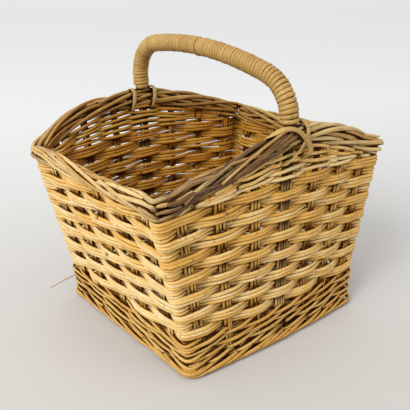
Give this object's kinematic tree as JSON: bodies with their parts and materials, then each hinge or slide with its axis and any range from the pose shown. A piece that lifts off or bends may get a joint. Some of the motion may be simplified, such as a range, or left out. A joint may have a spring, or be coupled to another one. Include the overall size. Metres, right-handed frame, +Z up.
{
  "type": "woven basket",
  "caption": "Flared rectangular basket woven from bands of cane over grouped stakes, with a waled foot, a rim swept up to a fixed cane-wrapped arch handle and lashed borders.",
  "frame": {"origin": "middle of the underside of the foot", "axes": "+X along the two handle sides, +Y across, in the plane of the handle's arch, +Z up"},
  "size_m": [0.3416, 0.3049, 0.3422],
  "materials": {
    "side_cane": "dry natural cane, soft sheen",
    "base_cane": "dry natural cane, soft sheen",
    "foot_cane": "dry natural cane, soft sheen",
    "rim_cane": "dry natural cane, soft sheen",
    "handle_rod": "dry natural cane, soft sheen",
    "wrap_cane": "dry natural cane, soft sheen"
  },
  "bodies": {
    "root": {"base_mat": "base_cane", "foot_border": "foot_cane", "foot_wale_1": "foot_cane", "foot_wale_2": "foot_cane", "foot_wale_3": "foot_cane", "foot_wale_4": "foot_cane", "woven_sides": "side_cane", "rim_border": "rim_cane", "handle_core": "handle_rod", "handle_wrap": "wrap_cane", "front_lashing": "wrap_cane", "back_lashing": "wrap_cane"}
  },
  "joints": []
}
